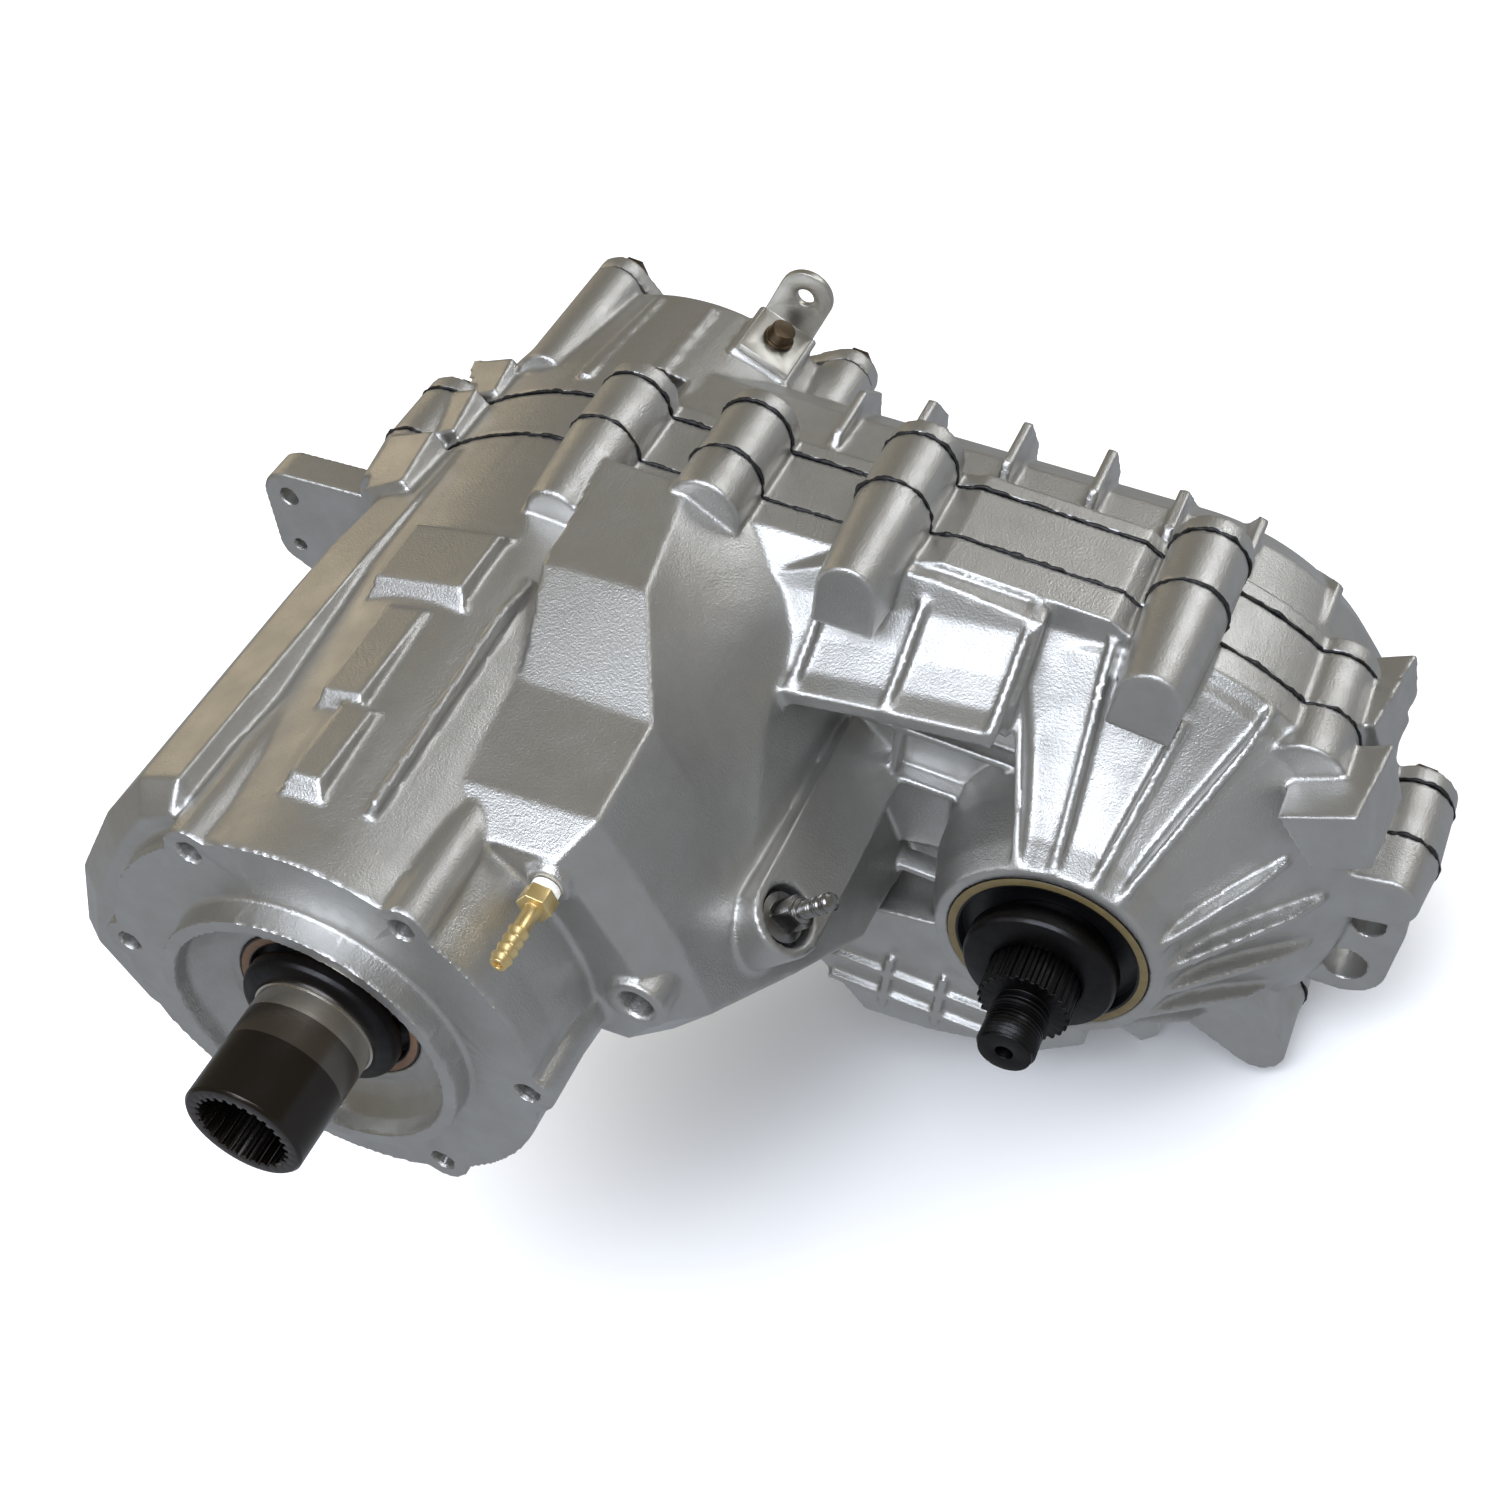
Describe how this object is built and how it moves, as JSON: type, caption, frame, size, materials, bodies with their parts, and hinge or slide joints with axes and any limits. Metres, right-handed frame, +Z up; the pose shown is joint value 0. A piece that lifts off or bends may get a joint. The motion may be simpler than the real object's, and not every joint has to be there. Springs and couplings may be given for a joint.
{
  "type": "transfer case",
  "caption": "Chain-driven transfer case of three aluminium castings, with a hollow splined input, an offset front output, a rear output and a cross selector shaft.",
  "frame": {"origin": "on the input axis, at the machined face of the input flange", "axes": "-Y out of the input flange towards the gearbox, +Y to the rear along the shafts, +X towards the front output, +Z up"},
  "size_m": [0.4222, 0.4255, 0.3103],
  "materials": {
    "cast_aluminium": "satin",
    "machined_aluminium": "satin",
    "sealant_black": "satin",
    "bolt_bronze": "satin",
    "bright_steel": "satin",
    "dark_steel": "satin",
    "brass_fitting": "satin",
    "thread_tape": "matt",
    "bracket_zinc": "satin",
    "gear_steel": "satin",
    "seal_rubber": "satin",
    "slinger_steel": "satin",
    "chain_steel": "satin"
  },
  "bodies": {
    "case": {"front_case": "cast_aluminium", "middle_case": "cast_aluminium", "rear_case": "cast_aluminium", "tail_retainer": "cast_aluminium", "front_sealant": "sealant_black", "rear_sealant": "sealant_black", "case_bolts": "bolt_bronze", "tail_bolts": "bolt_bronze", "dowels": "bright_steel", "drain_plug": "machined_aluminium", "fill_plug": "machined_aluminium", "vent_fitting": "brass_fitting", "vent_tape": "thread_tape", "lifting_bracket": "bracket_zinc", "bracket_bolt": "bolt_bronze", "input_bearing": "bright_steel", "input_seal": "seal_rubber", "ring_gear": "gear_steel", "shift_rail": "bright_steel", "drive_chain": "chain_steel", "pump_body": "machined_aluminium", "rear_bearing": "bright_steel", "rear_output_seal": "seal_rubber", "front_output_bearing": "bright_steel", "front_output_rear_bearing": "bright_steel", "front_output_seal": "seal_rubber", "selector_ring": "seal_rubber"},
    "input": {"input_shaft": "bright_steel", "input_slinger": "slinger_steel"},
    "carrier": {"planet_carrier": "gear_steel", "planet_pins": "bright_steel"},
    "planet_1": {"planet_gear_1": "gear_steel"},
    "planet_2": {"planet_gear_2": "gear_steel"},
    "planet_3": {"planet_gear_3": "gear_steel"},
    "planet_4": {"planet_gear_4": "gear_steel"},
    "main": {"main_shaft": "bright_steel", "pump_rotor": "gear_steel"},
    "high_low_sleeve": {"range_sleeve": "gear_steel"},
    "drive_lock_sleeve": {"mode_sleeve": "gear_steel"},
    "sprocket": {"drive_sprocket": "gear_steel"},
    "front_output": {"front_output_shaft": "dark_steel", "driven_sprocket": "gear_steel", "front_output_slinger": "slinger_steel"},
    "selector": {"selector_shaft": "bolt_bronze"},
    "high_low_fork": {"range_fork": "machined_aluminium"},
    "drive_lock_fork": {"mode_fork": "machined_aluminium"}
  },
  "joints": [
    {"name": "input_spin", "type": "hinge", "parent": "case", "child": "input", "pos_m": [0, 0, 0], "axis": [0, 1, 0], "continuous": true},
    {"name": "carrier_spin", "type": "hinge", "parent": "case", "child": "carrier", "pos_m": [0, 0.065, 0], "axis": [0, 1, 0], "continuous": true},
    {"name": "planet_1_spin", "type": "hinge", "parent": "carrier", "child": "planet_1", "pos_m": [0.054, 0.065, 0], "axis": [0, 1, 0], "continuous": true},
    {"name": "planet_2_spin", "type": "hinge", "parent": "carrier", "child": "planet_2", "pos_m": [0, 0.065, 0.054], "axis": [0, 1, 0], "continuous": true},
    {"name": "planet_3_spin", "type": "hinge", "parent": "carrier", "child": "planet_3", "pos_m": [-0.054, 0.065, 0], "axis": [0, 1, 0], "continuous": true},
    {"name": "planet_4_spin", "type": "hinge", "parent": "carrier", "child": "planet_4", "pos_m": [0, 0.065, -0.054], "axis": [0, 1, 0], "continuous": true},
    {"name": "main_spin", "type": "hinge", "parent": "case", "child": "main", "pos_m": [0, 0.2, 0], "axis": [0, 1, 0], "continuous": true},
    {"name": "sprocket_spin", "type": "hinge", "parent": "case", "child": "sprocket", "pos_m": [0, 0.236, 0], "axis": [0, 1, 0], "continuous": true},
    {"name": "front_output_spin", "type": "hinge", "parent": "case", "child": "front_output", "pos_m": [0.1868, 0.131, -0.097], "axis": [0, 1, 0], "continuous": true},
    {"name": "selector_turn", "type": "hinge", "parent": "case", "child": "selector", "pos_m": [0.1245, 0.09, -0.03901], "axis": [0.9298, 0, 0.3681], "range_deg": [0, 50]},
    {"name": "high_low_fork_slide", "type": "slide", "parent": "case", "child": "high_low_fork", "axis": [0, 1, 0], "range_m": [0, 0.024]},
    {"name": "high_low_sleeve_slide", "type": "slide", "parent": "main", "child": "high_low_sleeve", "axis": [0, 1, 0], "range_m": [0, 0.024]},
    {"name": "drive_lock_fork_slide", "type": "slide", "parent": "case", "child": "drive_lock_fork", "axis": [0, 1, 0], "range_m": [-0.012, 0]},
    {"name": "drive_lock_sleeve_slide", "type": "slide", "parent": "main", "child": "drive_lock_sleeve", "axis": [0, 1, 0], "range_m": [-0.012, 0]}
  ],
  "couplings": [
    {"joint": "carrier_spin", "follows": "input_spin", "ratio": 0.375},
    {"joint": "planet_1_spin", "follows": "input_spin", "ratio": -1.875},
    {"joint": "planet_2_spin", "follows": "input_spin", "ratio": -1.875},
    {"joint": "planet_3_spin", "follows": "input_spin", "ratio": -1.875},
    {"joint": "planet_4_spin", "follows": "input_spin", "ratio": -1.875},
    {"joint": "main_spin", "follows": "input_spin", "ratio": 1},
    {"joint": "sprocket_spin", "follows": "input_spin", "ratio": 1},
    {"joint": "front_output_spin", "follows": "input_spin", "ratio": 1},
    {"joint": "selector_turn", "follows": "high_low_fork_slide", "rad_per_m": 36.36},
    {"joint": "high_low_sleeve_slide", "follows": "high_low_fork_slide", "ratio": 1},
    {"joint": "drive_lock_sleeve_slide", "follows": "drive_lock_fork_slide", "ratio": 1}
  ]
}
